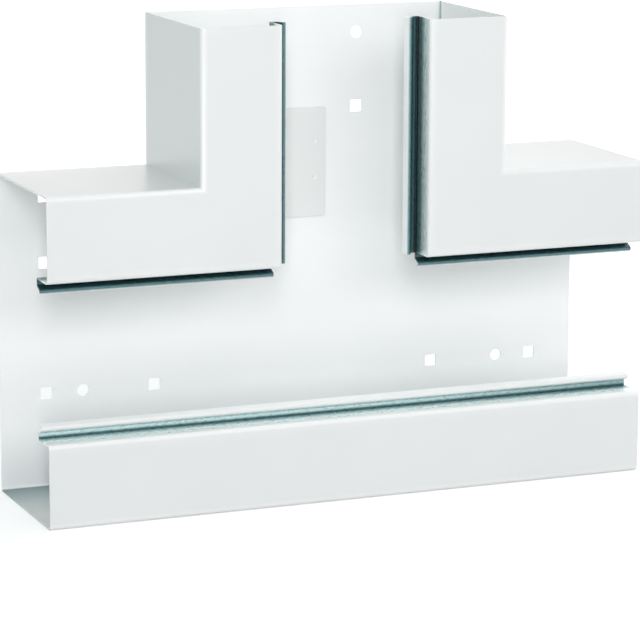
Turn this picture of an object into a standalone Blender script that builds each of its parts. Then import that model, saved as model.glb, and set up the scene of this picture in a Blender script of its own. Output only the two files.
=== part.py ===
"""Trunking tee fitting: the base of a steel wall-trunking tee, without its covers.

A run of trunking lies along X and a branch of the same width rises from its middle.
Every part is one sheet of galvanised steel, cut to shape and folded, then welded to
its neighbours and painted. The edges of the cover opening keep a bare zinc lip that
the covers snap onto.

The fitting stands on its bottom wall. X runs along it, the open front faces -Y, the
back plate lies against the wall at +Y, and the branch points up.
"""

import bmesh
import bpy
from math import radians, sin, sqrt, tan
from mathutils import Vector

MM = 0.001

# Main sizes
RUN_HEIGHT = 170.0 * MM
BRANCH_WIDTH = 170.0 * MM
DEPTH = 85.0 * MM
ARM_LENGTH = 81.5 * MM
RISER_HEIGHT = 80.4 * MM
BAND_WIDTH = 44.1 * MM

# Sheet and folds
SHEET = 1.0 * MM
FOLD_RADIUS = 1.5 * MM
WELD_GAP = 0.3 * MM
FOLD_STEPS = 8

# Snap lip along the cover opening
FLANGE_DEPTH = 17.0 * MM
LIP_WEB = 2.8 * MM
LIP_NOSE_REACH = 7.0 * MM
LIP_NOSE_RISE = 3.1 * MM
LIP_TIP_RISE = 1.8 * MM
LIP_FOLD_RADIUS = 0.4 * MM
LIP_STEPS = 6
CUT_CLEAR = 0.05 * MM

# Wall fixings through the back plate
SQUARE_HOLE = 6.4 * MM
ROUND_HOLE = 6.5 * MM
FIXING_ROW = 35.0 * MM
FIXING_ROW_LIFT = 1.0 * MM
ARM_END_SQUARE = 25.0 * MM
ARM_ROUND = 45.5 * MM
ARM_INNER_SQUARE = 85.5 * MM
ROOF_SQUARE_DROP = 13.7 * MM
BRANCH_END_ROUND = 15.0 * MM
BRANCH_SQUARE = 55.0 * MM
ROUND_SIDES = 32

# Spot-welded plate where the branch leaves the run
PLATE_WIDTH = 34.0 * MM
PLATE_HEIGHT = 59.5 * MM
PLATE_ABOVE_RUN = 26.0 * MM
PLATE_CORNER = 1.5 * MM
SPOT_SPACING = 20.4 * MM
SPOT_PITCH = 20.0 * MM
SPOT_DROP = 18.0 * MM
SPOT_DIAMETER = 3.0 * MM
SPOT_DENT = 0.35 * MM

# Lengths that follow from the sizes above
HALF_LENGTH = BRANCH_WIDTH / 2 + ARM_LENGTH
TOTAL_HEIGHT = RUN_HEIGHT + RISER_HEIGHT
FRONT_Y = -DEPTH / 2
OUTER_RADIUS = FOLD_RADIUS + SHEET
WALL_END = DEPTH - SHEET - WELD_GAP
PLATE_FACE_Y = DEPTH / 2 - SHEET


def clear_scene():
    for old in list(bpy.data.objects):
        bpy.data.objects.remove(old, do_unlink=True)


def make_material(name, colour, roughness, metallic):
    """A Principled material with one colour."""
    material = bpy.data.materials.new(name)
    material.use_nodes = True
    shader = material.node_tree.nodes["Principled BSDF"]
    shader.inputs["Base Color"].default_value = (*colour, 1.0)
    shader.inputs["Roughness"].default_value = roughness
    shader.inputs["Metallic"].default_value = metallic
    material.diffuse_color = (*colour, 1.0)
    return material


def make_object(name, bm, materials):
    """Close a bmesh into a named object with its folds shaded round."""
    bmesh.ops.recalc_face_normals(bm, faces=bm.faces)
    mesh = bpy.data.meshes.new(name)
    bm.to_mesh(mesh)
    bm.free()
    for material in materials:
        mesh.materials.append(material)
    mesh.shade_smooth()
    mesh.set_sharp_from_angle(angle=radians(30))
    piece = bpy.data.objects.new(name, mesh)
    bpy.context.collection.objects.link(piece)
    return piece


# Sections of folded sheet
#
# A section is drawn in two coordinates: depth behind the front face, and distance in
# from an outer wall. The line follows the visible face of the sheet, which is on its
# left, and the sheet's thickness is on its right.


def turn_angle(before, corner, after):
    """Signed turn at a corner, positive to the left."""
    first = corner - before
    second = after - corner
    return first.angle_signed(second) * -1


def offset_line(corners, distance):
    """Move a bent line to its right, keeping every run parallel."""
    moved = []
    last = len(corners) - 1
    for i, corner in enumerate(corners):
        before = corners[max(i - 1, 0)]
        after = corners[min(i + 1, last)]
        run_in = (corner - before).normalized() if i > 0 else (after - corner).normalized()
        run_out = (after - corner).normalized() if i < last else run_in
        right_in = Vector((run_in.y, -run_in.x))
        right_out = Vector((run_out.y, -run_out.x))
        middle = (right_in + right_out).normalized()
        moved.append(corner + middle * (distance / middle.dot(right_in)))
    return moved


def round_corner(before, corner, after, radius, steps):
    """Points of the arc that rounds one corner."""
    run_in = (before - corner).normalized()
    run_out = (after - corner).normalized()
    half = run_in.angle(run_out) / 2
    centre = corner + (run_in + run_out).normalized() * (radius / sin(half))
    start = corner + run_in * (radius / tan(half)) - centre
    end = corner + run_out * (radius / tan(half)) - centre
    sweep = start.angle(end)
    points = []
    for i in range(steps + 1):
        share = i / steps
        blend = start * sin((1 - share) * sweep) + end * sin(share * sweep)
        points.append(centre + blend / sin(sweep))
    return points


def fold_sheet(corners, inner_radii, steps):
    """Left and right faces of a sheet folded along a bent line.

    Each inner corner needs a radius for the inside of its fold and a number of steps.
    The outside of a fold is rounder by the sheet's thickness.
    """
    left_line = [Vector(corner) for corner in corners]
    right_line = offset_line(left_line, SHEET)
    left = [left_line[0]]
    right = [right_line[0]]
    for i, (inner, count) in enumerate(zip(inner_radii, steps), start=1):
        turns_left = turn_angle(*left_line[i - 1:i + 2]) > 0
        left_radius = inner if turns_left else inner + SHEET
        right_radius = inner + SHEET if turns_left else inner
        left += round_corner(*left_line[i - 1:i + 2], left_radius, count)
        right += round_corner(*right_line[i - 1:i + 2], right_radius, count)
    left.append(left_line[-1])
    right.append(right_line[-1])
    return left, right


def snap_lip():
    """Corners of the lip: a web at the back of the flange, a nose and a tip."""
    web_top = BAND_WIDTH + LIP_WEB
    nose = (FLANGE_DEPTH - LIP_NOSE_REACH, web_top + LIP_NOSE_RISE)
    tip = (FLANGE_DEPTH, nose[1] + LIP_TIP_RISE)
    return [(FLANGE_DEPTH, BAND_WIDTH), (FLANGE_DEPTH, web_top), nose, tip]


def rim_radii():
    """Fold radii from the front band's inner edge to the nose of the lip."""
    radii = [FOLD_RADIUS, LIP_FOLD_RADIUS, LIP_FOLD_RADIUS, LIP_FOLD_RADIUS]
    steps = [FOLD_STEPS, LIP_STEPS, LIP_STEPS, 2 * LIP_STEPS]
    return radii, steps


def add_ring(bm, loop, place):
    return [bm.verts.new(place(depth, inset)) for depth, inset in loop]


def join_rings(bm, first, second):
    """Side faces between two rings, keyed by the ring edge that they follow."""
    faces = []
    count = len(first)
    for i in range(count):
        j = (i + 1) % count
        faces.append(bm.faces.new((first[i], first[j], second[j], second[i])))
    return faces


def mark_zinc(faces, left_count, crease):
    """Give the lip's faces the second material: both faces of the sheet and its edge."""
    last_edge = 2 * left_count - crease - 1
    for face in faces[crease:last_edge]:
        face.material_index = 1


# Cutters


def hide_cutter(cutter):
    cutter.hide_render = True
    cutter.display_type = "WIRE"
    cutter.hide_set(True)


def cut(piece, cutter):
    """Take a cutter's shape out of a piece."""
    hide_cutter(cutter)
    modifier = piece.modifiers.new(cutter.name, "BOOLEAN")
    modifier.operation = "DIFFERENCE"
    modifier.solver = "EXACT"
    modifier.object = cutter


def add_block(bm, low, high):
    """A closed box between two corners."""
    low = Vector(low)
    high = Vector(high)
    made = bmesh.ops.create_cube(bm, size=1.0)
    bmesh.ops.scale(bm, vec=high - low, verts=made["verts"])
    bmesh.ops.translate(bm, vec=(low + high) / 2, verts=made["verts"])


def add_round_punch(bm, x, z, radius):
    """A closed cylinder through the back plate."""
    made = bmesh.ops.create_cone(
        bm, cap_ends=True, segments=ROUND_SIDES, radius1=radius, radius2=radius, depth=4 * SHEET
    )
    lay_to_front(bm, made["verts"])
    bmesh.ops.translate(bm, vec=(x, PLATE_FACE_Y + SHEET / 2, z), verts=made["verts"])


def lay_to_front(bm, verts):
    """Turn what stands along Z so that it points along -Y."""
    turn = Vector((0, 0, 1)).rotation_difference(Vector((0, -1, 0))).to_matrix()
    bmesh.ops.rotate(bm, verts=verts, cent=(0, 0, 0), matrix=turn)


def add_square_punch(bm, x, z):
    half = SQUARE_HOLE / 2
    low = (x - half, PLATE_FACE_Y - SHEET, z - half)
    high = (x + half, PLATE_FACE_Y + 2 * SHEET, z + half)
    add_block(bm, low, high)


# Parts


def back_channel(paint, zinc):
    """Back plate, bottom wall and lower front band, folded from one T-shaped sheet."""
    rim, rim_steps = rim_radii()
    corners = [(DEPTH, RUN_HEIGHT), (DEPTH, 0.0), (0.0, 0.0), (0.0, BAND_WIDTH)] + snap_lip()
    radii = [FOLD_RADIUS, FOLD_RADIUS] + rim
    steps = [FOLD_STEPS, FOLD_STEPS] + rim_steps
    left, right = fold_sheet(corners, radii, steps)
    loop = left + right[::-1]

    def ring_at(x):
        return [bm.verts.new((x, FRONT_Y + depth, height)) for depth, height in loop]

    bm = bmesh.new()
    half_branch = BRANCH_WIDTH / 2
    rings = [ring_at(x) for x in (-HALF_LENGTH, -half_branch, half_branch, HALF_LENGTH)]
    bm.faces.new(rings[0])
    bm.faces.new(rings[-1])
    lengths = [join_rings(bm, first, second) for first, second in zip(rings, rings[1:])]
    crease = 1 + 3 * (FOLD_STEPS + 1)
    for faces in lengths:
        mark_zinc(faces, len(left), crease)

    top_edge_under_branch = lengths[1][-1]
    raised = bmesh.ops.extrude_discrete_faces(bm, faces=[top_edge_under_branch])["faces"][0]
    bmesh.ops.translate(bm, vec=(0, 0, RISER_HEIGHT), verts=list(raised.verts))

    channel = make_object("back_channel", bm, (paint, zinc))
    cut(channel, fixing_punches())
    return channel


def fixing_punches():
    """Square and round wall fixings, in one cutter."""
    bm = bmesh.new()
    middle = RUN_HEIGHT / 2 + FIXING_ROW_LIFT
    low_row = middle - FIXING_ROW
    high_row = middle + FIXING_ROW
    for side in (-1, 1):
        end_x = side * (HALF_LENGTH - ARM_END_SQUARE)
        add_square_punch(bm, end_x, low_row)
        add_square_punch(bm, end_x, high_row)
        add_square_punch(bm, end_x, RUN_HEIGHT - ROOF_SQUARE_DROP)
        add_square_punch(bm, side * (HALF_LENGTH - ARM_INNER_SQUARE), low_row)
        add_round_punch(bm, side * (HALF_LENGTH - ARM_ROUND), low_row, ROUND_HOLE / 2)
        add_square_punch(bm, side * FIXING_ROW, TOTAL_HEIGHT - BRANCH_SQUARE)
        add_round_punch(bm, side * FIXING_ROW, TOTAL_HEIGHT - BRANCH_END_ROUND, ROUND_HOLE / 2)
    return make_object("fixing_punches", bm, ())


def corner_panel(name, side, paint, zinc):
    """L-shaped front with its lips, folded back along the arm as the arm's top wall.

    The same section runs along the arm and up the branch, and both runs meet in a
    mitre between the two corners of the L. Along the branch the sheet ends where its
    outer fold ends, because a side wall there would need the metal of the top wall.
    """
    rim, rim_steps = rim_radii()
    corners = [(WALL_END, 0.0), (0.0, 0.0), (0.0, BAND_WIDTH)] + snap_lip()
    left, right = fold_sheet(corners, [FOLD_RADIUS] + rim, [FOLD_STEPS] + rim_steps)
    loop = left + right[::-1]
    half_branch = BRANCH_WIDTH / 2

    def arm_end(depth, inset):
        return (side * HALF_LENGTH, FRONT_Y + depth, RUN_HEIGHT - inset)

    def mitre(depth, inset):
        return (side * (half_branch - inset), FRONT_Y + depth, RUN_HEIGHT - inset)

    def branch_end(depth, inset):
        return (side * (half_branch - inset), FRONT_Y + depth, TOTAL_HEIGHT)

    bm = bmesh.new()
    outer = add_ring(bm, loop, arm_end)
    corner = add_ring(bm, loop, mitre)
    bm.faces.new(outer)
    crease = 1 + 2 * (FOLD_STEPS + 1)
    mark_zinc(join_rings(bm, outer, corner), len(left), crease)

    wall_rear_left, wall_front_left = corner[0], corner[1]
    wall_rear_right, wall_front_right = corner[-1], corner[-2]
    bm.faces.new((wall_rear_left, wall_front_left, wall_front_right, wall_rear_right))

    upper = add_ring(bm, loop[1:-1], branch_end)
    bm.faces.new(upper)
    mark_zinc(join_rings(bm, corner[1:-1], upper), len(left) - 1, crease - 1)

    panel = make_object(name, bm, (paint, zinc))
    cut(panel, lip_notch(name + "_notch", side))
    return panel


def lip_notch(name, side):
    """Where the two lips of a panel would cross: each stops level with the other's flange."""
    lip_room = 2 * (LIP_WEB + LIP_NOSE_RISE + LIP_TIP_RISE)
    flange_x = BRANCH_WIDTH / 2 - BAND_WIDTH - CUT_CLEAR
    flange_z = RUN_HEIGHT - BAND_WIDTH - CUT_CLEAR
    across = sorted((side * flange_x, side * (flange_x - lip_room)))
    front_of_nose = FRONT_Y + FLANGE_DEPTH - LIP_NOSE_REACH - SHEET
    behind_web = FRONT_Y + FLANGE_DEPTH + 2 * SHEET
    bm = bmesh.new()
    low = (across[0], front_of_nose, flange_z - lip_room)
    high = (across[1], behind_web, flange_z)
    add_block(bm, low, high)
    return make_object(name, bm, ())


def branch_wall(name, side, paint):
    """Side wall of the branch: a flat sheet, mitred onto the arm's top wall."""
    start = OUTER_RADIUS + WELD_GAP
    loop = [(start, 0.0), (WALL_END, 0.0), (WALL_END, SHEET), (start, SHEET)]
    half_branch = BRANCH_WIDTH / 2
    foot_gap = WELD_GAP * sqrt(2)

    def foot(depth, inset):
        return (side * (half_branch - inset), FRONT_Y + depth, RUN_HEIGHT - inset + foot_gap)

    def head(depth, inset):
        return (side * (half_branch - inset), FRONT_Y + depth, TOTAL_HEIGHT)

    bm = bmesh.new()
    lower = add_ring(bm, loop, foot)
    upper = add_ring(bm, loop, head)
    bm.faces.new(lower)
    bm.faces.new(upper)
    join_rings(bm, lower, upper)
    return make_object(name, bm, (paint,))


def junction_plate(paint):
    """Small plate spot-welded to the back plate, with the dents of its weld spots."""
    top = RUN_HEIGHT + PLATE_ABOVE_RUN
    low_z = top - PLATE_HEIGHT
    rear_y = PLATE_FACE_Y - WELD_GAP
    bm = bmesh.new()
    add_block(bm, (-PLATE_WIDTH / 2, rear_y - SHEET, low_z), (PLATE_WIDTH / 2, rear_y, top))
    corners = [edge for edge in bm.edges if abs(edge.verts[0].co.y - edge.verts[1].co.y) > SHEET / 2]
    bmesh.ops.bevel(bm, geom=corners, offset=PLATE_CORNER, segments=4, profile=0.5, affect="EDGES")
    plate = make_object("junction_plate", bm, (paint,))
    cut(plate, spot_dents(top, rear_y - SHEET))
    return plate


def spot_dents(top, face_y):
    """Four shallow tapered dents, left by the welding tips."""
    bm = bmesh.new()
    for side in (-1, 1):
        for row in (0, 1):
            made = bmesh.ops.create_cone(
                bm,
                cap_ends=True,
                segments=ROUND_SIDES // 2,
                radius1=SPOT_DIAMETER / 4,
                radius2=SPOT_DIAMETER * 3 / 4,
                depth=2 * SPOT_DENT,
            )
            lay_to_front(bm, made["verts"])
            spot = (side * SPOT_SPACING / 2, face_y, top - SPOT_DROP - row * SPOT_PITCH)
            bmesh.ops.translate(bm, vec=spot, verts=made["verts"])
    return make_object("spot_dents", bm, ())


def build_tee():
    clear_scene()
    channel_paint = make_material("white_paint_channel", (0.80, 0.83, 0.83), 0.35, 0.0)
    panel_paint = make_material("white_paint_panel", (0.80, 0.84, 0.84), 0.35, 0.0)
    wall_paint = make_material("white_paint_wall", (0.78, 0.82, 0.82), 0.35, 0.0)
    plate_paint = make_material("white_paint_plate", (0.76, 0.80, 0.80), 0.40, 0.0)
    zinc = make_material("bare_zinc_lip", (0.50, 0.58, 0.60), 0.32, 1.0)
    back_channel(channel_paint, zinc)
    for side_name, side in (("left", -1), ("right", 1)):
        corner_panel(side_name + "_corner_panel", side, panel_paint, zinc)
        branch_wall(side_name + "_branch_wall", side, wall_paint)
    junction_plate(plate_paint)


build_tee()
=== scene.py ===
# %% [markdown]
# # Trunking tee fitting
#
# The object is the base of a steel wall-trunking tee: a run of trunking lies along X,
# and a branch of the same width rises from its middle. Each wall is sheet steel one
# millimetre thick, folded, welded and powder coated, and the covers would snap onto a
# bare zinc lip along the opening.
#
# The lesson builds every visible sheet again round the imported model, because folded
# metal is recognised by its edges: round folds, burnished cuts, thin dark creases. The
# frame comes first, and nothing below moves it.

from math import cos, pi, radians, sin, tan

import bmesh
import bpy
from mathutils import Matrix, Vector


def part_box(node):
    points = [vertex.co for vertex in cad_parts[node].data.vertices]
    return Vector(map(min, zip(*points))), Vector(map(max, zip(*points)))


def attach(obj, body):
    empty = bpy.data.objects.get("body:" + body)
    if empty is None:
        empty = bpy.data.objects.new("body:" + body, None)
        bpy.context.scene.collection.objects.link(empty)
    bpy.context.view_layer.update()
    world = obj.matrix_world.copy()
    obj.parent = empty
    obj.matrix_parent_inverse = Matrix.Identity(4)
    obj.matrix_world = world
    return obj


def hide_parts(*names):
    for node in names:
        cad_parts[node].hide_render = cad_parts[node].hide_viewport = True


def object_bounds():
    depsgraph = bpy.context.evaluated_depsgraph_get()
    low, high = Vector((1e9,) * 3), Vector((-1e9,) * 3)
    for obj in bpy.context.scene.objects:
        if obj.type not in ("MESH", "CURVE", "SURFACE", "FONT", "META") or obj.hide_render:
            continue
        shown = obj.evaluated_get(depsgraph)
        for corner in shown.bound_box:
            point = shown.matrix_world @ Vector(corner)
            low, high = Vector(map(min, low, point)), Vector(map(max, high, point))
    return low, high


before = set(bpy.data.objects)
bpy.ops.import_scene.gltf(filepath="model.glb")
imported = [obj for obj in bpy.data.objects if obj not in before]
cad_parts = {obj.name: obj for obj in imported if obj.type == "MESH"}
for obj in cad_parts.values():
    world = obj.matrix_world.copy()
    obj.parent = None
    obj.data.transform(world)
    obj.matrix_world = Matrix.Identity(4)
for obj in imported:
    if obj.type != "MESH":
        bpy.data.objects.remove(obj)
cad_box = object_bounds()

# %% [markdown]
# ## Sizes
#
# A sheet-metal drawing needs few numbers: the overall sizes, the sheet, the radius of
# the folds, and the little profile of the lip. The overall sizes could be typed in, but
# they are read from the frame here, so that the finish can't drift away from the model
# that it dresses. The rest repeats the model's own dimensions.

# %% Name the driving sizes
MM = 0.001
HALF_LENGTH = cad_box[1][0]
FRONT_Y = cad_box[0][1]
REAR_Y = cad_box[1][1]
TOTAL_HEIGHT = cad_box[1][2]
HALF_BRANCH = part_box("right_branch_wall")[1][0]
DEPTH = REAR_Y - FRONT_Y

RUN_HEIGHT = 170.0 * MM
BAND_WIDTH = 44.1 * MM
SHEET = 1.0 * MM
FOLD_RADIUS = 1.5 * MM
WELD_GAP = 0.3 * MM
WALL_END = DEPTH - SHEET - WELD_GAP

FLANGE_DEPTH = 17.0 * MM
LIP_WEB = 2.8 * MM
LIP_NOSE_REACH = 7.0 * MM
LIP_NOSE_RISE = 3.1 * MM
LIP_TIP_RISE = 1.8 * MM
LIP_FOLD_RADIUS = 0.4 * MM

for label, size in (("length", 2 * HALF_LENGTH), ("depth", DEPTH), ("height", TOTAL_HEIGHT)):
    print(f"{label} {size / MM:.1f} mm")

# %% [markdown]
# ## Writing node trees
#
# Repeated metalwork is a rule: "run this section along that line", "punch this hole at
# those points". Geometry Nodes hold such rules with named inputs. The trees could be
# drawn by hand in the editor, but a script that builds them can be read and run again.
# Three small helpers keep that short: one adds a node and feeds its inputs, one writes
# arithmetic, and one runs a tree on an object and keeps the plain mesh.

# %% Helpers for node trees
def add(tree, kind, feeds=(), **settings):
    """Add a node, set its options, and feed its inputs with sockets or values."""
    node = tree.nodes.new(kind)
    for option, value in settings.items():
        setattr(node, option, value)
    shown = [socket for socket in node.inputs if socket.enabled]
    for key, value in dict(feeds).items():
        socket = shown[key] if isinstance(key, int) else next(s for s in shown if s.name == key)
        if isinstance(value, bpy.types.NodeSocket):
            tree.links.new(value, socket)
        else:
            socket.default_value = value
    return node


def out(node, name=None):
    """An output of a node: the one of that name, or the first that is in use."""
    shown = [socket for socket in node.outputs if socket.enabled]
    return shown[0] if name is None else next(s for s in shown if s.name == name)


def math(tree, operation, *values):
    return out(add(tree, "ShaderNodeMath", enumerate(values), operation=operation))


def vector(tree, x, y, z):
    return out(add(tree, "ShaderNodeCombineXYZ", {"X": x, "Y": y, "Z": z}))


def split(tree, value):
    node = add(tree, "ShaderNodeSeparateXYZ", {0: value})
    return node.outputs["X"], node.outputs["Y"], node.outputs["Z"]


def read(tree, name, data_type="FLOAT"):
    """Read a named attribute."""
    return out(add(tree, "GeometryNodeInputNamedAttribute", {"Name": name}, data_type=data_type))


def store(tree, geometry, name, value, data_type="FLOAT"):
    """Keep a value on the points under a name."""
    feeds = {"Geometry": geometry, "Name": name, "Value": value}
    return out(add(tree, "GeometryNodeStoreNamedAttribute", feeds, data_type=data_type))


def start_tree(name, inputs):
    """A tree with a geometry input, the named inputs, and a geometry output."""
    tree = bpy.data.node_groups.new(name, "GeometryNodeTree")
    tree.interface.new_socket("Geometry", in_out="INPUT", socket_type="NodeSocketGeometry")
    for label, kind in inputs.items():
        tree.interface.new_socket(label, in_out="INPUT", socket_type="NodeSocket" + kind)
    tree.interface.new_socket("Geometry", in_out="OUTPUT", socket_type="NodeSocketGeometry")
    return tree, tree.nodes.new("NodeGroupInput").outputs


def end_tree(tree, geometry, material):
    """Every tree ends in plain geometry with its material set."""
    real = add(tree, "GeometryNodeRealizeInstances", {"Geometry": geometry})
    last = add(tree, "GeometryNodeSetMaterial", {"Geometry": out(real), "Material": material})
    add(tree, "NodeGroupOutput", {0: out(last)})


def keep_evaluated(piece):
    """Replace an object's mesh with what its modifiers make of it."""
    graph = bpy.context.evaluated_depsgraph_get()
    mesh = bpy.data.meshes.new_from_object(piece.evaluated_get(graph), depsgraph=graph)
    piece.modifiers.clear()
    piece.data = mesh


def run_tree(piece, tree, **values):
    """Run a tree on an object. Inputs are named in plain words and set by identifier."""
    modifier = piece.modifiers.new(tree.name, "NODES")
    modifier.node_group = tree
    for item in tree.interface.items_tree:
        key = item.name.lower().replace(" ", "_")
        if item.in_out == "INPUT" and key in values:
            modifier[item.identifier] = values.pop(key)
    assert not values, f"{tree.name} has no input {sorted(values)}"
    keep_evaluated(piece)


print("node helpers ready")

# %% [markdown]
# ## Finishes
#
# The fitting is galvanised sheet under a white semi-gloss powder coat. Where the covers
# snap on, the coat was masked off, so the zinc shows, with a soft edge of overspray. Two
# materials with a hard border between them would look like a decal. One material that
# fades between coat and metal gives the soft edge. It has to know where it is across the
# sheet, so each sheet carries an attribute "from_tip": the distance to the lip's tip.
#
# Powder coat flows a little as it cures and keeps a fine orange-peel surface. Zinc
# freezes in spangles, and rolling and folding draw them out along the lip, so that
# pattern follows the sheet's own coordinates: distance along the run, and across it.
#
# Neither has one even tone here, and most of the tone is painted light and shade:
# painted highlights on the lip's tip and on the crowns of the folds, a back plate painted
# brighter, and painted shade deep inside the channel and in the hollows of the lip, where
# the zinc is also painted teal. Painted maps could hold that. A short list of stops across
# the sheet says it in millimetres, and it can be read and changed.

# %% Painted light and shade across the sheet
# A stop is a distance from the lip's tip in mm, and the tone there.
# The coat's stops are painted light: highlights on the tip and on the crowns of the front and top
# folds, and a back plate painted brighter than the faces in front of it.
COAT_LIGHT_AND_SHADE = [
    (0, 1.2),
    (3.0, 1.2),
    (4.6, 0.95),
    (8, 1.0),
    (24.0, 1.0),
    (26.0, 1.14),
    (28.6, 1.12),
    (31.0, 0.99),
    (34, 0.96),
    (69.5, 0.96),
    (71.0, 1.04),
    (73.5, 1.04),
    (75.0, 0.96),
    (152, 0.96),
    (158, 1.21),
]
# On the inner side of the corner panels' walls the coat is painted brighter, with painted
# shade along the seam at the walls' end. The channel's bottom wall is painted darker and teal
# toward the back plate, as shade.
WALL_LIGHT_AND_SEAM_SHADE = [(76, 1.0), (84, 1.22), (153.0, 1.22), (153.8, 0.55), (156, 0.55)]
FLOOR_PAINTED_SHADE = [(100, 1.0), (121, 0.84), (139, 0.60), (152, 0.35), (154, 0.22), (156, 1.0)]
# The channel's lip faces the light, and the lips of the corner panels face away from it. The zinc
# stops paint that light and shade into the lip's colour: dark creases and hollows, and on the
# channel's lip a bright nose and flange.
LIT_LIP_LIGHT_AND_SHADE = [
    (5.0, 0.92),
    (6.3, 1.0),
    (9.8, 1.0),
    (10.4, 0.66),
    (11.6, 0.63),
    (12.0, 0.36),
    (12.5, 0.10),
    (13.4, 0.13),
    (14.4, 0.33),
    (15.6, 0.44),
    (17.6, 0.55),
    (21.0, 1.0),
    (30.0, 1.0),
]
SHADED_LIP_LIGHT_AND_SHADE = [
    (4.0, 0.26),
    (5.6, 0.10),
    (10.4, 0.06),
    (11.2, 0.11),
    (12.4, 0.01),
    (13.2, 0.01),
    (15.3, 0.20),
    (17.9, 0.22),
    (21.4, 0.76),
    (23.5, 0.90),
    (28.0, 0.98),
]
# The web of the channel's lip is darker from the middle of the run to its right end. The
# first list's stops are places along X in mm. The second says, by the distance from
# the tip, which part of the lip takes part.
RUN_TONES = [(20, 1.0), (166, 0.60)]
DARKER_WEB_PART = [(9.4, 0.0), (10.4, 1.0), (16.4, 1.0), (22.0, 0.0)]
# A tone below 1 takes more red away than green, which turns it teal.
TINT_RED = 1.38
TINT_BLUE = 0.95


def spread(tree, value, low, high, start=0.3, end=0.7, smooth=False):
    """Map the range from start to end, here the middle of a noise, to two values."""
    feeds = {"Value": value, "From Min": start, "From Max": end, "To Min": low, "To Max": high}
    kind = "SMOOTHSTEP" if smooth else "LINEAR"
    return out(add(tree, "ShaderNodeMapRange", feeds, interpolation_type=kind))


def tones(tree, place, stops, red=1.0, blue=1.0):
    """A colour ramp through (place in mm, tone) stops, tinted where it darkens."""
    nearest, farthest = stops[0][0] * MM, stops[-1][0] * MM
    along = spread(tree, place, 0.0, 1.0, nearest, farthest)
    node = add(tree, "ShaderNodeValToRGB", {"Fac": along})
    elements = node.color_ramp.elements
    for distance, _ in stops[1:-1]:
        elements.new((distance * MM - nearest) / (farthest - nearest))
    for element, (_, tone) in zip(elements, stops):
        bright, dark = max(tone, 1.0), min(tone, 1.0)
        element.color = (bright * dark**red, bright * dark, bright * dark**blue, 1.0)
    return out(node, "Color")


def tinted_tones(tree, place, stops):
    return tones(tree, place, stops, TINT_RED, TINT_BLUE)


def toned(tree, colour, tone):
    feeds = {"Factor": 1.0, "A": colour, "B": tone}
    return out(add(tree, "ShaderNodeMix", feeds, data_type="RGBA", blend_type="MULTIPLY"))


print("stops on the coat", len(COAT_LIGHT_AND_SHADE), "and on the zinc", len(LIT_LIP_LIGHT_AND_SHADE), len(SHADED_LIP_LIGHT_AND_SHADE))

# %% Coat and zinc
PAINT_ROUGHNESS = 0.32
ZINC_ROUGHNESS = 0.28
PAINT_ROUGHNESS_SWING = 0.03
ZINC_ROUGHNESS_SWING = (-0.03, 0.05)
PEEL_SIZE = 0.9 * MM
CLOUD_SIZE = 60.0 * MM
CLOUD_SHADES = (0.985, 1.01)
GRAIN_SIZE = 0.3 * MM
SOFT_DETAIL = 2.0
GRAIN_DETAIL = 3.0
SPANGLE_SIZE = 0.9 * MM
SPANGLE_STRETCH = 3.0
SPARKLE_MIDDLE = (0.2, 0.8)
CRYSTAL_SHARE = 0.6
DULL_ZINC = (0.87, 0.94, 0.925, 1.0)
BRIGHT_ZINC = (0.96, 1.03, 1.01, 1.0)
INNER_SIDE = (0.4 * SHEET, 0.6 * SHEET)


def noise(tree, coordinates, size, detail):
    feeds = {"Vector": coordinates, "Scale": 1 / size, "Detail": detail}
    return out(add(tree, "ShaderNodeTexNoise", feeds))


def mix_colour(tree, factor, first, second):
    feeds = {"Factor": factor, "A": first, "B": second}
    return out(add(tree, "ShaderNodeMix", feeds, data_type="RGBA"))


def mix_number(tree, factor, first, second):
    return out(add(tree, "ShaderNodeMix", {"Factor": factor, "A": first, "B": second}))


def shade(colour, factor):
    return (*(channel * factor for channel in colour), 1.0)


def attribute(tree, name, output="Fac"):
    return out(add(tree, "ShaderNodeAttribute", attribute_name=name), output)


def coat_look(tree, place, from_tip, paint, inner_light_and_shade):
    """Colour, roughness and relief of the powder coat, with the painted light and shade of the
    stops across the sheet.
    """
    cloud = noise(tree, place, CLOUD_SIZE, SOFT_DETAIL)
    dim, clear = (shade(paint, factor) for factor in CLOUD_SHADES)
    coat = mix_colour(tree, spread(tree, cloud, 0, 1), dim, clear)
    coat = toned(tree, coat, tones(tree, from_tip, COAT_LIGHT_AND_SHADE))
    if inner_light_and_shade:
        inside = spread(tree, attribute(tree, "inset"), 0.0, 1.0, *INNER_SIDE)
        inner_painted_coat = toned(tree, coat, tinted_tones(tree, from_tip, inner_light_and_shade))
        coat = mix_colour(tree, inside, coat, inner_painted_coat)
    smoothest = PAINT_ROUGHNESS - PAINT_ROUGHNESS_SWING
    roughest = PAINT_ROUGHNESS + PAINT_ROUGHNESS_SWING
    peel = noise(tree, place, PEEL_SIZE, SOFT_DETAIL)
    return coat, spread(tree, cloud, smoothest, roughest), peel


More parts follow.
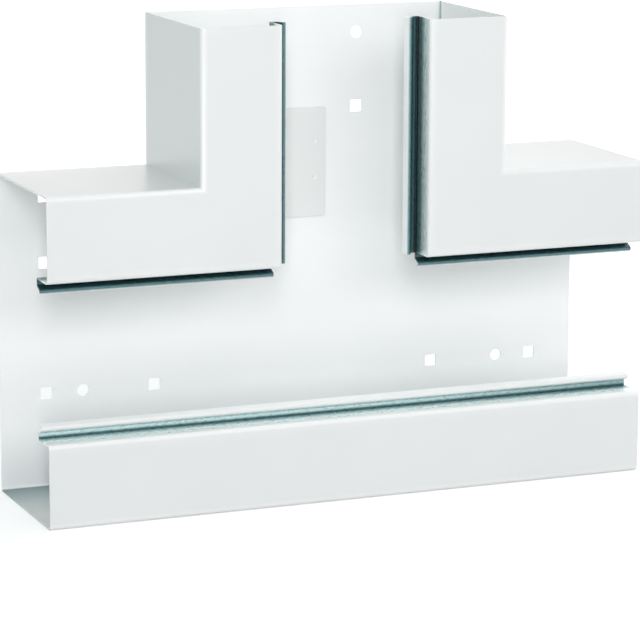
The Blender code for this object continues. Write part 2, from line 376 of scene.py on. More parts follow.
def zinc_look(tree, place, from_tip, lip_light_and_shade, run_tones):
    """Colour, roughness and relief of the bare zinc, drawn out along the run, with the lip's
    painted light and shade.
    """
    run, girth, _ = split(tree, attribute(tree, "sheet_uv", "Vector"))
    drawn = vector(tree, math(tree, "DIVIDE", run, SPANGLE_STRETCH), girth, 0.0)
    cells = add(tree, "ShaderNodeTexVoronoi", {"Vector": drawn, "Scale": 1 / SPANGLE_SIZE})
    crystal = split(tree, cells.outputs["Color"])[0]
    grain = noise(tree, drawn, GRAIN_SIZE, GRAIN_DETAIL)
    sparkle = mix_number(tree, CRYSTAL_SHARE, grain, crystal)
    bright = spread(tree, sparkle, 0.0, 1.0, *SPARKLE_MIDDLE)
    metal = mix_colour(tree, bright, DULL_ZINC, BRIGHT_ZINC)
    metal = toned(tree, metal, tinted_tones(tree, from_tip, lip_light_and_shade))
    if run_tones:
        darkened = toned(tree, metal, tinted_tones(tree, split(tree, place)[0], run_tones))
        metal = mix_colour(tree, tones(tree, from_tip, DARKER_WEB_PART), metal, darkened)
    smoothest, roughest = (ZINC_ROUGHNESS + swing for swing in ZINC_ROUGHNESS_SWING)
    return metal, spread(tree, crystal, smoothest, roughest, 0.0, 1.0), grain


print(f"coat roughness {PAINT_ROUGHNESS}, spangles {SPANGLE_SIZE / MM:.1f} mm")

# %% The coated sheet
MASK_EDGE = 0.5 * MM
BARE_END = 26.0 * MM
OVERSPRAY = 2.6 * MM
RELIEF = 0.003 * MM
ZINC_METALLIC = 0.3


def coated_sheet(name, paint, lip_light_and_shade, bare_start, inner_light_and_shade=None, run_tones=None):
    """Powder-coated zinc sheet, bare from bare_start to BARE_END, with painted light and shade in
    its tones.
    """
    material = bpy.data.materials.new(name)
    material.use_nodes = True
    tree = material.node_tree
    shader = tree.nodes["Principled BSDF"]
    place = out(add(tree, "ShaderNodeTexCoord"), "Object")
    from_tip = attribute(tree, "from_tip")

    coat, coat_rough, peel = coat_look(tree, place, from_tip, paint, inner_light_and_shade)
    metal, metal_rough, grain = zinc_look(tree, place, from_tip, lip_light_and_shade, run_tones)
    edge = (bare_start - MASK_EDGE, bare_start + MASK_EDGE)
    near = spread(tree, from_tip, 0.0, 1.0, *edge, smooth=True)
    far = spread(tree, from_tip, 1.0, 0.0, BARE_END - OVERSPRAY, BARE_END + OVERSPRAY, smooth=True)
    mask = math(tree, "MULTIPLY", near, far)

    height = mix_number(tree, mask, peel, grain)
    bump_feeds = {"Strength": 1.0, "Distance": RELIEF, "Height": height}
    bump = out(add(tree, "ShaderNodeBump", bump_feeds))
    rough = mix_number(tree, mask, coat_rough, metal_rough)
    tree.links.new(mix_colour(tree, mask, coat, metal), shader.inputs["Base Color"])
    tree.links.new(math(tree, "MULTIPLY", mask, ZINC_METALLIC), shader.inputs["Metallic"])
    tree.links.new(rough, shader.inputs["Roughness"])
    tree.links.new(bump, shader.inputs["Normal"])
    return material


CHANNEL_COAT = (0.773, 0.785, 0.787)
PANEL_COAT = (0.765, 0.78, 0.78)
PLATE_COAT = (0.675, 0.69, 0.686)
OPEN_BARE_START = 6.4 * MM
SHADED_BARE_START = 4.0 * MM

channel_finish = coated_sheet(
    "coated_channel", CHANNEL_COAT, LIT_LIP_LIGHT_AND_SHADE, OPEN_BARE_START, FLOOR_PAINTED_SHADE, RUN_TONES
)
panel_finish = coated_sheet("coated_panel", PANEL_COAT, SHADED_LIP_LIGHT_AND_SHADE, SHADED_BARE_START, WALL_LIGHT_AND_SEAM_SHADE)
# The junction plate has no lip and no chart, so it reads a distance of 0: coat all over,
# brightened by the tip's painted highlight tone of 1.2, which its lower base colour offsets.
plate_finish = coated_sheet("coated_plate", PLATE_COAT, LIT_LIP_LIGHT_AND_SHADE, OPEN_BARE_START)
print("finishes", channel_finish.name, panel_finish.name, plate_finish.name)

# %% [markdown]
# ## The section of the sheet
#
# A fold drawing shows a sheet from its end as one bent line. Depth is measured back
# from the front face, and inset from an outer wall. The line below follows the visible
# face, and the sheet's thickness lies on its right. A corner needs the radius of the
# visible face there: the inside radius where the line turns left, and the inside radius
# plus the sheet where it turns right.

# %% Draw the sections
OUTSIDE = FOLD_RADIUS + SHEET


def drawn_line(name, points, **attributes):
    """An object of joined points that carry named numbers or vectors."""
    mesh = bpy.data.meshes.new(name)
    mesh.from_pydata(points, [(i, i + 1) for i in range(len(points) - 1)], [])
    for label, values in attributes.items():
        vectors = isinstance(values[0], Vector)
        kind, key = ("FLOAT_VECTOR", "vector") if vectors else ("FLOAT", "value")
        layer = mesh.attributes.new(label, kind, "POINT")
        for item, value in zip(layer.data, values):
            setattr(item, key, value)
    line = bpy.data.objects.new(name, mesh)
    bpy.context.collection.objects.link(line)
    return line


def section_line(name, corners):
    """A section from (depth, inset, radius of the visible face) corners."""
    points = [(depth, inset, 0.0) for depth, inset, _ in corners]
    return drawn_line(name, points, fold_radius=[radius for _, _, radius in corners])


web_top = BAND_WIDTH + LIP_WEB
nose_top = web_top + LIP_NOSE_RISE
rim = [
    (0.0, BAND_WIDTH, OUTSIDE),
    (FLANGE_DEPTH, BAND_WIDTH, LIP_FOLD_RADIUS),
    (FLANGE_DEPTH, web_top, LIP_FOLD_RADIUS),
    (FLANGE_DEPTH - LIP_NOSE_REACH, nose_top, LIP_FOLD_RADIUS + SHEET),
    (FLANGE_DEPTH, nose_top + LIP_TIP_RISE, 0.0),
]
run_walls = [(DEPTH, RUN_HEIGHT, 0.0), (DEPTH, 0.0, OUTSIDE), (0.0, 0.0, OUTSIDE)]
arm_walls = [(WALL_END, 0.0, 0.0), (0.0, 0.0, OUTSIDE)]
run_section = section_line("run_section", run_walls + rim)
arm_section = section_line("arm_section", arm_walls + rim)
print("corners in the run", len(run_walls + rim), "and in an arm", len(arm_walls + rim))

# %% [markdown]
# ## Folding the sheet
#
# The tree rounds the drawn line, offsets it by the sheet, and closes both faces into
# one ring. The ring then runs along a path of stations. Each station says which way
# inset is measured there, and at the corner of an L that way is the diagonal, which
# makes the mitre. A Boolean of two straight lengths would also give a mitre, but leaves
# slivers along it.

# %% The folded sheet tree
FOLD_STEPS = 12
LAST_ORDER = 10000.0


def folded_sheet_tree():
    inputs = {
        "Section": "Object",
        "Sheet": "Float",
        "Front": "Float",
        "Fold Steps": "Int",
        "Material": "Material",
    }
    tree, given = start_tree("folded_sheet", inputs)

    drawn = out(add(tree, "GeometryNodeObjectInfo", {"Object": given["Section"]}), "Geometry")
    line = out(add(tree, "GeometryNodeMeshToCurve", {"Mesh": drawn}))
    radius = read(tree, "fold_radius")
    fillet_feeds = {"Curve": line, "Count": given["Fold Steps"], "Radius": radius}
    line = out(add(tree, "GeometryNodeFilletCurve", fillet_feeds, mode="POLY"))
    depth, inset, _ = split(tree, out(add(tree, "GeometryNodeInputPosition")))
    heading = split(tree, out(add(tree, "GeometryNodeInputTangent")))
    parameter = add(tree, "GeometryNodeSplineParameter")
    line = store(tree, line, "depth", depth)
    line = store(tree, line, "inset", inset)
    line = store(tree, line, "right_depth", heading[1])
    line = store(tree, line, "right_inset", math(tree, "MULTIPLY", heading[0], -1.0))
    girth = out(parameter, "Length")
    whole = out(add(tree, "GeometryNodeSplineLength"), "Length")
    line = store(tree, line, "girth", girth)
    line = store(tree, line, "from_tip", math(tree, "SUBTRACT", whole, girth))
    line = store(tree, line, "order", out(parameter, "Index"))
    visible = out(add(tree, "GeometryNodeCurveToPoints", {"Curve": line}, mode="EVALUATED"))

    hidden = visible
    for label in ("depth", "inset"):
        step = math(tree, "MULTIPLY", read(tree, "right_" + label), given["Sheet"])
        hidden = store(tree, hidden, label, math(tree, "ADD", read(tree, label), step))
    backward = math(tree, "SUBTRACT", LAST_ORDER, read(tree, "order"))
    hidden = store(tree, hidden, "order", backward)

    both = add(tree, "GeometryNodeJoinGeometry")
    tree.links.new(hidden, both.inputs[0])
    tree.links.new(visible, both.inputs[0])
    ring_feeds = {"Points": out(both), "Weight": read(tree, "order")}
    ring = out(add(tree, "GeometryNodePointsToCurves", ring_feeds))
    drawn_place = vector(tree, read(tree, "depth"), read(tree, "inset"), 0.0)
    ring = out(add(tree, "GeometryNodeSetPosition", {"Geometry": ring, "Position": drawn_place}))
    ring = out(add(tree, "GeometryNodeSetSplineCyclic", {"Geometry": ring, "Cyclic": True}))

    path = out(add(tree, "GeometryNodeMeshToCurve", {"Mesh": given["Geometry"]}))
    path_x, _, path_z = split(tree, out(add(tree, "GeometryNodeInputPosition")))
    path = store(tree, path, "path_x", path_x)
    path = store(tree, path, "path_z", path_z)
    path = store(tree, path, "run", out(add(tree, "GeometryNodeSplineParameter"), "Length"))
    swept_feeds = {"Curve": path, "Profile Curve": ring, "Fill Caps": True}
    swept = out(add(tree, "GeometryNodeCurveToMesh", swept_feeds))

    way_x, _, way_z = split(tree, read(tree, "inset_way", "FLOAT_VECTOR"))
    x = math(tree, "MULTIPLY_ADD", read(tree, "inset"), way_x, read(tree, "path_x"))
    y = math(tree, "ADD", read(tree, "depth"), given["Front"])
    z = math(tree, "MULTIPLY_ADD", read(tree, "inset"), way_z, read(tree, "path_z"))
    placed_feeds = {"Geometry": swept, "Position": vector(tree, x, y, z)}
    placed = out(add(tree, "GeometryNodeSetPosition", placed_feeds))
    chart = vector(tree, read(tree, "run"), read(tree, "girth"), 0.0)
    charted = store(tree, placed, "sheet_uv", chart, "FLOAT_VECTOR")
    end_tree(tree, charted, given["Material"])
    return tree


folded_sheet = folded_sheet_tree()
print("nodes in the folded sheet tree", len(folded_sheet.nodes))

# %% Fold the channel and the corners
CM = 0.01
MERGE_DISTANCE = 0.001 * MM


def face_outward(mesh):
    """Merge doubles and turn every face of a closed mesh outward."""
    bm = bmesh.new()
    bm.from_mesh(mesh)
    bmesh.ops.remove_doubles(bm, verts=bm.verts, dist=MERGE_DISTANCE)
    bmesh.ops.recalc_face_normals(bm, faces=bm.faces)
    volume = bm.calc_volume(signed=True)
    open_edges = sum(1 for edge in bm.edges if len(edge.link_faces) != 2)
    bm.to_mesh(mesh)
    bm.free()
    return volume, open_edges


def fold(name, stations, section, material, sheet=SHEET):
    """A folded sheet from (x, z, way x, way z) stations and a section."""
    points = [(x, 0.0, z) for x, z, _, _ in stations]
    ways = [Vector((way_x, 0.0, way_z)) for _, _, way_x, way_z in stations]
    piece = drawn_line(name, points, inset_way=ways)
    run_tree(
        piece,
        folded_sheet,
        section=section,
        sheet=sheet,
        front=FRONT_Y,
        fold_steps=FOLD_STEPS,
        material=material,
    )
    volume, open_edges = face_outward(piece.data)
    faces = len(piece.data.polygons)
    print(f"{name}: {faces} faces, {volume / CM**3:.2f} cm3, open edges {open_edges}")
    return piece


run_x = (-HALF_LENGTH, -HALF_BRANCH, HALF_BRANCH, HALF_LENGTH)
channel = fold("channel", [(x, 0.0, 0.0, 1.0) for x in run_x], run_section, channel_finish)


def corner_stations(side):
    """Stations of an L: the arm's end, the mitre, and the top of the branch."""
    return [
        (side * HALF_LENGTH, RUN_HEIGHT, 0.0, -1.0),
        (side * HALF_BRANCH, RUN_HEIGHT, -side, -1.0),
        (side * HALF_BRANCH, TOTAL_HEIGHT, -side, 0.0),
    ]


corners = {
    label: fold(label + "_corner", corner_stations(side), arm_section, panel_finish)
    for label, side in (("left", -1), ("right", 1))
}

# %% [markdown]
# ## Punching the back plate
#
# The wall fixings are punched before folding: square holes for carriage bolts and round
# ones for screws. One list of points with a size each would do for loose rivets too, and
# the tree puts a punch at every point and takes them all out in one Boolean. The same
# tree first raises the riser, the tab of the T-shaped blank behind the branch.

# %% The punched plate tree
SQUARE_HOLE = 6.4 * MM
ROUND_HOLE = 6.5 * MM
FIXING_ROW = 35.0 * MM
FIXING_ROW_LIFT = 1.0 * MM
ARM_END_SQUARE = 25.0 * MM
ARM_ROUND = 45.5 * MM
ARM_INNER_SQUARE = 85.5 * MM
ROOF_SQUARE_DROP = 13.7 * MM
BRANCH_END_ROUND = 15.0 * MM
BRANCH_SQUARE = 55.0 * MM
PUNCH_LENGTH = 4 * SHEET
ROUND_STEPS = 48
LEVEL_ERROR = 0.01 * MM
FACES_UP = 0.9


def fixing_points():
    """Places of the square and the round fixings."""
    middle = RUN_HEIGHT / 2 + FIXING_ROW_LIFT
    low_row, high_row = middle - FIXING_ROW, middle + FIXING_ROW
    squares, rounds = [], []
    for side in (-1, 1):
        for height in (low_row, high_row, RUN_HEIGHT - ROOF_SQUARE_DROP):
            squares.append((side * (HALF_LENGTH - ARM_END_SQUARE), height))
        squares.append((side * (HALF_LENGTH - ARM_INNER_SQUARE), low_row))
        squares.append((side * FIXING_ROW, TOTAL_HEIGHT - BRANCH_SQUARE))
        rounds.append((side * (HALF_LENGTH - ARM_ROUND), low_row))
        rounds.append((side * FIXING_ROW, TOTAL_HEIGHT - BRANCH_END_ROUND))
    return squares, rounds


def punched_plate_tree():
    inputs = {
        "Fixings": "Object",
        "Square Size": "Float",
        "Round Size": "Float",
        "Punch Length": "Float",
        "Plate Top": "Float",
        "Half Branch": "Float",
        "Riser": "Float",
        "Material": "Material",
    }
    tree, given = start_tree("punched_plate", inputs)

    place_x, _, place_z = split(tree, out(add(tree, "GeometryNodeInputPosition")))
    facing_up = split(tree, out(add(tree, "GeometryNodeInputNormal")))[2]
    under_branch = math(tree, "LESS_THAN", math(tree, "ABSOLUTE", place_x), given["Half Branch"])
    at_top = math(tree, "COMPARE", place_z, given["Plate Top"], LEVEL_ERROR)
    upward = math(tree, "GREATER_THAN", facing_up, FACES_UP)
    chosen = math(tree, "MULTIPLY", math(tree, "MULTIPLY", under_branch, at_top), upward)
    raise_feeds = {
        "Mesh": given["Geometry"],
        "Selection": chosen,
        "Offset": (0.0, 0.0, 1.0),
        "Offset Scale": given["Riser"],
    }
    raised = out(add(tree, "GeometryNodeExtrudeMesh", raise_feeds))

    points = out(add(tree, "GeometryNodeObjectInfo", {"Object": given["Fixings"]}), "Geometry")
    is_round = read(tree, "round")
    square_size = vector(tree, given["Square Size"], given["Punch Length"], given["Square Size"])
    square = out(add(tree, "GeometryNodeMeshCube", {"Size": square_size}))
    radius = math(tree, "DIVIDE", given["Round Size"], 2.0)
    rod_feeds = {"Vertices": ROUND_STEPS, "Radius": radius, "Depth": given["Punch Length"]}
    rod = out(add(tree, "GeometryNodeMeshCylinder", rod_feeds))
    turn_feeds = {"Geometry": rod, "Rotation": (pi / 2, 0.0, 0.0)}
    rod_turned = out(add(tree, "GeometryNodeTransform", turn_feeds))
    is_square = math(tree, "SUBTRACT", 1.0, is_round)
    punches = add(tree, "GeometryNodeJoinGeometry")
    for wanted, punch in ((is_round, rod_turned), (is_square, square)):
        feeds = {"Points": points, "Selection": wanted, "Instance": punch}
        made = out(add(tree, "GeometryNodeInstanceOnPoints", feeds))
        real = out(add(tree, "GeometryNodeRealizeInstances", {"Geometry": made}))
        tree.links.new(real, punches.inputs[0])
    cut = add(tree, "GeometryNodeMeshBoolean", operation="DIFFERENCE", solver="EXACT")
    tree.links.new(raised, cut.inputs["Mesh 1"])
    tree.links.new(out(punches), cut.inputs["Mesh 2"])
    end_tree(tree, out(cut), given["Material"])
    return tree


def copy_of(piece):
    """An object that keeps the piece as it is now."""
    kept = bpy.data.objects.new(piece.name + "_uncut", piece.data.copy())
    bpy.context.collection.objects.link(kept)
    return kept


sheets = (channel, corners["left"], corners["right"])
uncut_sheets = {piece.name: copy_of(piece) for piece in sheets}
squares, rounds = fixing_points()
plate_middle = REAR_Y - SHEET / 2
fixings = drawn_line(
    "fixings",
    [(x, plate_middle, z) for x, z in squares + rounds],
    round=[0.0] * len(squares) + [1.0] * len(rounds),
)
run_tree(
    channel,
    punched_plate_tree(),
    fixings=fixings,
    square_size=SQUARE_HOLE,
    round_size=ROUND_HOLE,
    punch_length=PUNCH_LENGTH,
    plate_top=RUN_HEIGHT,
    half_branch=HALF_BRANCH,
    riser=TOTAL_HEIGHT - RUN_HEIGHT,
    material=channel_finish,
)
holes = f"{len(squares)} square and {len(rounds)} round holes"
print(f"channel: {holes}, {len(channel.data.polygons)} faces")

# %% [markdown]
# ## Notching the lips
#
# Where the two lips of a corner would cross, each is cut back level with the other's
# flange. It is one straight cut, so a single block and a Boolean modifier say it best.

# %% Notch the corners
CUT_CLEAR = 0.05 * MM
LIP_ROOM = 2 * (LIP_WEB + LIP_NOSE_RISE + LIP_TIP_RISE)


def block(name, low, high):
    """A closed box between two corners."""
    bm = bmesh.new()
    size = Vector(high) - Vector(low)
    middle = (Vector(high) + Vector(low)) / 2
    placed = Matrix.Translation(middle) @ Matrix.Diagonal((*size, 1.0))
    bmesh.ops.create_cube(bm, size=1.0, matrix=placed)
    mesh = bpy.data.meshes.new(name)
    bm.to_mesh(mesh)
    bm.free()
    box = bpy.data.objects.new(name, mesh)
    bpy.context.collection.objects.link(box)
    return box


def notch(piece, side):
    flange_x = HALF_BRANCH - BAND_WIDTH - CUT_CLEAR
    flange_z = RUN_HEIGHT - BAND_WIDTH - CUT_CLEAR
    low_x, high_x = sorted((side * flange_x, side * (flange_x - LIP_ROOM)))
    front = FRONT_Y + FLANGE_DEPTH - LIP_NOSE_REACH - SHEET
    low = (low_x, front, flange_z - LIP_ROOM)
    high = (high_x, front + LIP_ROOM, flange_z)
    cutter = block("notch", low, high)
    modifier = piece.modifiers.new("notch", "BOOLEAN")
    modifier.operation = "DIFFERENCE"
    modifier.solver = "EXACT"
    modifier.object = cutter
    keep_evaluated(piece)
    bpy.data.objects.remove(cutter)


notch(corners["left"], -1)
notch(corners["right"], 1)
print("lip notches cut in", sorted(corners))

# %% [markdown]
# ## Carrying the chart over the cuts
#
# A Boolean makes new corners that know nothing of the sheet's chart, and the finish
# would go wrong around every hole. Unwrapping the cut sheet again would be slow. The
# uncut sheet still has its chart, and its inset, which tells the inner side from the
# outer one. So each corner of the cut sheet looks up the nearest point there.

# %% The chart tree
CHARTED = (("from_tip", "FLOAT"), ("inset", "FLOAT"), ("sheet_uv", "FLOAT_VECTOR"))


def carried_chart_tree():
    tree, given = start_tree("carried_chart", {"Uncut": "Object", "Material": "Material"})
    uncut = out(add(tree, "GeometryNodeObjectInfo", {"Object": given["Uncut"]}), "Geometry")
    charted = given["Geometry"]
    for label, kind in CHARTED:
        nearest_feeds = {"Mesh": uncut, "Value": read(tree, label, kind)}
        nearest = add(tree, "GeometryNodeSampleNearestSurface", nearest_feeds, data_type=kind)
        charted = store(tree, charted, label, out(nearest, "Value"), kind)
    end_tree(tree, charted, given["Material"])
    return tree


carried_chart = carried_chart_tree()
finishes = {"channel": channel_finish, "left_corner": panel_finish, "right_corner": panel_finish}
for piece in sheets:
    uncut = uncut_sheets[piece.name]
    run_tree(piece, carried_chart, uncut=uncut, material=finishes[piece.name])
    bpy.data.objects.remove(uncut)
print("charts carried over to", sorted(finishes))

# %% [markdown]
# ## Dressed welds
#
# The corners' walls are welded to the back plate from outside, and the weld is ground
# flush before painting. Inside, the seam stays open as a thin dark line. A strip that
# fills only the outer half of the seam gives both looks.

# %% Weld strips
WELD_DEPTH = 0.5 * MM
weld_corners = [(DEPTH - SHEET, 0.0, 0.0), (WALL_END, 0.0, 0.0)]
weld_section = section_line("weld_section", weld_corners)
welds = {
    label: fold(label + "_weld", corner_stations(side), weld_section, panel_finish, WELD_DEPTH)
    for label, side in (("left", -1), ("right", 1))
}

# %% [markdown]
# ## The junction plate
#
# A small plate is spot-welded over the place where the branch leaves the run. The
# welding tips leave shallow round dents. A displaced grid would need a very fine mesh to
# show them, so the tree takes four large, barely sunk spheres out of a plain plate.

# %% The spot-welded plate tree
PLATE_WIDTH = 34.0 * MM
PLATE_HEIGHT = 59.5 * MM
PLATE_ABOVE_RUN = 26.0 * MM
PLATE_CORNER = 1.5 * MM
SPOT_SPACING = 20.4 * MM
SPOT_PITCH = 20.0 * MM
SPOT_DROP = 18.0 * MM
SPOT_DIAMETER = 3.0 * MM
SPOT_DENT = 0.35 * MM
PLATE_CORNER_STEPS = 6
SPHERE_STEPS = 48


def spot_plate_tree():
    inputs = {
        "Width": "Float",
        "Height": "Float",
        "Corner": "Float",
        "Sheet": "Float",
        "Spot Radius": "Float",
        "Spot Lift": "Float",
        "Material": "Material",
    }
    tree, given = start_tree("spot_welded_plate", inputs)
    outline_feeds = {"Width": given["Width"], "Height": given["Height"]}
    outline = out(add(tree, "GeometryNodeCurvePrimitiveQuadrilateral", outline_feeds))
    round_feeds = {"Curve": outline, "Count": PLATE_CORNER_STEPS, "Radius": given["Corner"]}
    outline = out(add(tree, "GeometryNodeFilletCurve", round_feeds, mode="POLY"))
    face = out(add(tree, "GeometryNodeFillCurve", {"Curve": outline}, mode="NGONS"))
    thick_feeds = {"Mesh": face, "Offset": (0.0, 0.0, 1.0), "Offset Scale": given["Sheet"]}
    thick = out(add(tree, "GeometryNodeExtrudeMesh", thick_feeds))
    shell = add(tree, "GeometryNodeJoinGeometry")
    tree.links.new(thick, shell.inputs[0])
    tree.links.new(out(add(tree, "GeometryNodeFlipFaces", {"Mesh": face})), shell.inputs[0])
    merge_feeds = {"Geometry": out(shell), "Distance": MERGE_DISTANCE}
    closed = out(add(tree, "GeometryNodeMergeByDistance", merge_feeds))

    ball_feeds = {"Segments": SPHERE_STEPS, "Rings": SPHERE_STEPS, "Radius": given["Spot Radius"]}
    ball = out(add(tree, "GeometryNodeMeshUVSphere", ball_feeds))
    dots = out(add(tree, "GeometryNodeMeshToPoints", {"Mesh": given["Geometry"]}))
    lift = vector(tree, 0.0, 0.0, given["Spot Lift"])
    dots = out(add(tree, "GeometryNodeSetPosition", {"Geometry": dots, "Offset": lift}))
    balls = out(add(tree, "GeometryNodeInstanceOnPoints", {"Points": dots, "Instance": ball}))
    balls = out(add(tree, "GeometryNodeRealizeInstances", {"Geometry": balls}))
    cut = add(tree, "GeometryNodeMeshBoolean", operation="DIFFERENCE", solver="EXACT")
    tree.links.new(closed, cut.inputs["Mesh 1"])
    tree.links.new(balls, cut.inputs["Mesh 2"])
    end_tree(tree, out(cut), given["Material"])
    return tree


def lay_on_back_plate(mesh, centre):
    """Turn a plate drawn flat so that it faces the front, and move it to its place."""
    mesh.transform(Matrix.Translation(centre) @ Matrix.Rotation(pi / 2, 4, "X"))


spot_rows = [PLATE_HEIGHT / 2 - SPOT_DROP - row * SPOT_PITCH for row in (0, 1)]
spots = [(side * SPOT_SPACING / 2, height, SHEET) for side in (-1, 1) for height in spot_rows]
spot_sphere = ((SPOT_DIAMETER / 2) ** 2 + SPOT_DENT**2) / (2 * SPOT_DENT)
junction = drawn_line("junction", spots)
run_tree(
    junction,
    spot_plate_tree(),
    width=PLATE_WIDTH,
    height=PLATE_HEIGHT,
    corner=PLATE_CORNER,
    sheet=SHEET,
    spot_radius=spot_sphere,
    spot_lift=spot_sphere - SPOT_DENT,
    material=plate_finish,
)
plate_rear = REAR_Y - SHEET - WELD_GAP
plate_middle_z = RUN_HEIGHT + PLATE_ABOVE_RUN - PLATE_HEIGHT / 2
lay_on_back_plate(junction.data, Vector((0.0, plate_rear, plate_middle_z)))
print(f"junction: {len(junction.data.polygons)} faces, dents {SPOT_DIAMETER / MM:.1f} mm across")

# %% [markdown]
# ## Edges
#
# A punched or sheared edge is never a knife edge: the coat rounds it, and the light
# catches it as a thin line. A Bevel modifier limited by angle rounds only the cuts and
# leaves the folds alone, and weighted normals keep the wide faces flat beside them.

# %% Round the cut edges
EDGE_RADIUS = 0.14 * MM
EDGE_STEPS = 2
CUT_ANGLE = 50.0
FACE_WEIGHT = 100


def finish_edges(piece):
    bevel = piece.modifiers.new("cut_edges", "BEVEL")
    bevel.width = EDGE_RADIUS
    bevel.segments = EDGE_STEPS
    bevel.limit_method = "ANGLE"
    bevel.angle_limit = radians(CUT_ANGLE)
    bevel.use_clamp_overlap = True
    piece.data.shade_smooth()
    normals = piece.modifiers.new("flat_faces", "WEIGHTED_NORMAL")
    normals.weight = FACE_WEIGHT
    normals.keep_sharp = False
    keep_evaluated(piece)
    print(f"{piece.name}: {len(piece.data.polygons)} faces after its edges are rounded")


for piece in (*sheets, junction):
    finish_edges(piece)

# %% [markdown]
# ## Handing the pieces to the frame
#
# Each piece rides on the one rigid body, and the model's own solids that it stands for are
# hidden. The drawn lines have done their work.

# %% Ride and replace
pieces = [
    (channel, "channel_paint", ["back_channel"]),
    (corners["left"], "panel_paint", ["left_corner_panel", "left_branch_wall"]),
    (corners["right"], "panel_paint", ["right_corner_panel", "right_branch_wall"]),
    (welds["left"], "panel_paint", []),
    (welds["right"], "panel_paint", []),
    (junction, "plate_paint", ["junction_plate"]),
]
for piece, slot, nodes in pieces:
    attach(piece, "root")
    if nodes:
        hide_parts(*nodes)
for line in (run_section, arm_section, weld_section, fixings):
    bpy.data.objects.remove(line)
print("pieces", [piece.name for piece, _, _ in pieces])

# %% [markdown]
# ## Floor and background
#
# A product picture stands on white. More light would bleach the object too, so the
# white is only in what the camera sees: for camera and mirror rays the floor adds a
# little glow of its own. Near the fitting it is just enough that the lit floor reaches
# white and the soft shadow still shows. Farther out, where the lamps reach less, it grows
# to full white, as the world is above the horizon. The world's own light is faint.

# %% Floor and world
FLOOR_SIZE = 12.0
NEAR_GLOW = 0.45
FAR_GLOW = 1.0
GLOW_FROM = 0.3
GLOW_TO = 1.1
FLOOR_COLOUR = (0.72, 0.73, 0.73, 1.0)
FLOOR_ROUGHNESS = 0.9
WHITE = (1.0, 1.0, 1.0, 1.0)
WORLD_LIGHT = 0.03
WORLD_TINT = (0.80, 1.0, 1.0, 1.0)


def seen_directly(tree):
    """1 for rays that the camera, a mirror or glass sends, 0 for the rest."""
    rays = add(tree, "ShaderNodeLightPath").outputs
    seen = math(tree, "MAXIMUM", rays["Is Camera Ray"], rays["Is Glossy Ray"])
    return math(tree, "MAXIMUM", seen, rays["Is Transmission Ray"])


def floor_material():
    material = bpy.data.materials.new("pale_floor")
    material.use_nodes = True
    tree = material.node_tree
    shader = tree.nodes["Principled BSDF"]
    shader.inputs["Base Color"].default_value = FLOOR_COLOUR
    shader.inputs["Roughness"].default_value = FLOOR_ROUGHNESS
    shader.inputs["Specular IOR Level"].default_value = 0.0
    shader.inputs["Emission Color"].default_value = WHITE
    place = out(add(tree, "ShaderNodeTexCoord"), "Object")
    distance = out(add(tree, "ShaderNodeVectorMath", {0: place}, operation="LENGTH"), "Value")
    glow = spread(tree, distance, NEAR_GLOW, FAR_GLOW, GLOW_FROM, GLOW_TO, smooth=True)
    glow = math(tree, "MULTIPLY", seen_directly(tree), glow)
    tree.links.new(glow, shader.inputs["Emission Strength"])
    return material


def make_floor():
    mesh = bpy.data.meshes.new("floor")
    half = FLOOR_SIZE / 2
    corner_points = [(x * half, y * half, 0.0) for x, y in ((-1, -1), (1, -1), (1, 1), (-1, 1))]
    mesh.from_pydata(corner_points, [], [(0, 1, 2, 3)])
    mesh.materials.append(floor_material())
    plane = bpy.data.objects.new("floor", mesh)
    bpy.context.collection.objects.link(plane)


def light_world():
    world = bpy.data.worlds.new("studio")
    bpy.context.scene.world = world
    world.use_nodes = True
    tree = world.node_tree
    background = tree.nodes["Background"]
    seen = seen_directly(tree)
    colour = mix_colour(tree, seen, WORLD_TINT, WHITE)
    strength = mix_number(tree, seen, WORLD_LIGHT, 1.0)
    tree.links.new(colour, background.inputs["Color"])
    tree.links.new(strength, background.inputs["Strength"])


make_floor()
light_world()
print("floor", FLOOR_SIZE, "m, world light", WORLD_LIGHT)

# %% [markdown]
# ## Studio light
#
# Plain light from one dome would flatten the folds. Seven soft boxes at one distance
# give each direction its own brightness. A narrow strip at the left front draws the soft
# T of light on the back plate, a weaker one at the right front opens the shade on its
# other side, and a wide low box fills the front. A big box at each end lights the branch
# walls, faintly green, one behind lights the rear, and one overhead lifts every face that
# looks up. An area lamp's light at its target falls with the square of the distance, so
# its power is worked out from the brightness wanted there.

# %% Lamps
TARGET = Vector((0.0, 0.0, 0.12))
LAMP_DISTANCE = 2.4


def soft_lamp(name, azimuth, elevation, half_width, half_height, brightness, tint):
    """A soft box by its angles, adding the given brightness to a white face turned to it."""
    light = bpy.data.lights.new(name, "AREA")
    light.shape = "RECTANGLE"
    light.size = 2 * LAMP_DISTANCE * tan(radians(half_width))
    light.size_y = 2 * LAMP_DISTANCE * tan(radians(half_height))
    light.energy = brightness * pi * pi * LAMP_DISTANCE**2
    light.color = tint
    lamp = bpy.data.objects.new(name, light)
    side, lift = radians(azimuth), radians(elevation)
    way = Vector((sin(side) * cos(lift), -cos(side) * cos(lift), sin(lift)))
    turned = way.to_track_quat("Z", "Y").to_matrix().to_4x4()
    lamp.matrix_world = Matrix.Translation(TARGET + way * LAMP_DISTANCE) @ turned
    bpy.context.collection.objects.link(lamp)
    return lamp


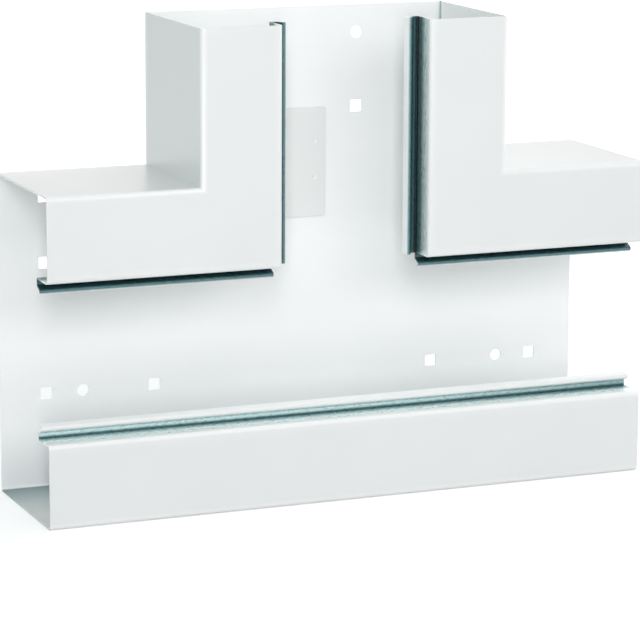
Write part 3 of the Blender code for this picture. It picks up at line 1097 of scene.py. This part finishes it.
# Each row: name, azimuth from the front, elevation, half width and half height in
# degrees, brightness, tint.
SOFT_BOXES = [
    ("strip", -22, 15, 4, 14, 0.45, (1.0, 0.985, 0.995)),
    ("side_strip", 35, 15, 8, 14, 0.105, (1.0, 0.97, 0.95)),
    ("front", 3, 21.5, 15, 7, 0.17, (1.0, 1.0, 0.99)),
    ("left", -95, 20, 20, 20, 0.26, (0.82, 1.0, 0.97)),
    ("right", 95, 20, 20, 20, 0.54, (0.90, 1.0, 0.98)),
    ("rear", 150, 40, 30, 30, 0.29, (1.0, 0.95, 0.96)),
    ("overhead", 0, 80, 30, 30, 0.42, (1.0, 0.99, 0.99)),
]
lamps = [soft_lamp(*row) for row in SOFT_BOXES]
print("lamps", [(lamp.name, round(lamp.data.energy, 1)) for lamp in lamps])

# %% [markdown]
# ## Camera
#
# The view is that of a long lens a little above the fitting and to its left. The angles
# were found by matching the fitting's corners. A small vertical shift keeps the picture
# centred without tilting the camera further.

# %% Camera
CAMERA_PLACE = Vector((-618.0, -1480.6, 421.3)) * MM
CAMERA_YAW = 22.563
CAMERA_PITCH = -10.557
CAMERA_ROLL = 0.269
CAMERA_SHIFT = -0.1
FOCAL_PIXELS = 3090.8
IMAGE_PIXELS = 640
SENSOR_MM = 36.0

camera_data = bpy.data.cameras.new("camera")
camera_data.sensor_width = SENSOR_MM
camera_data.lens = FOCAL_PIXELS / IMAGE_PIXELS * SENSOR_MM
camera_data.shift_y = CAMERA_SHIFT
camera = bpy.data.objects.new("camera", camera_data)
yaw = Matrix.Rotation(radians(-CAMERA_YAW), 4, "Z")
pitch = Matrix.Rotation(radians(90 + CAMERA_PITCH), 4, "X")
roll = Matrix.Rotation(radians(CAMERA_ROLL), 4, "Z")
camera.matrix_world = Matrix.Translation(CAMERA_PLACE) @ yaw @ pitch @ roll
bpy.context.collection.objects.link(camera)
bpy.context.scene.camera = camera
bpy.context.scene.view_settings.view_transform = "Standard"
print(f"lens {camera_data.lens:.1f} mm")
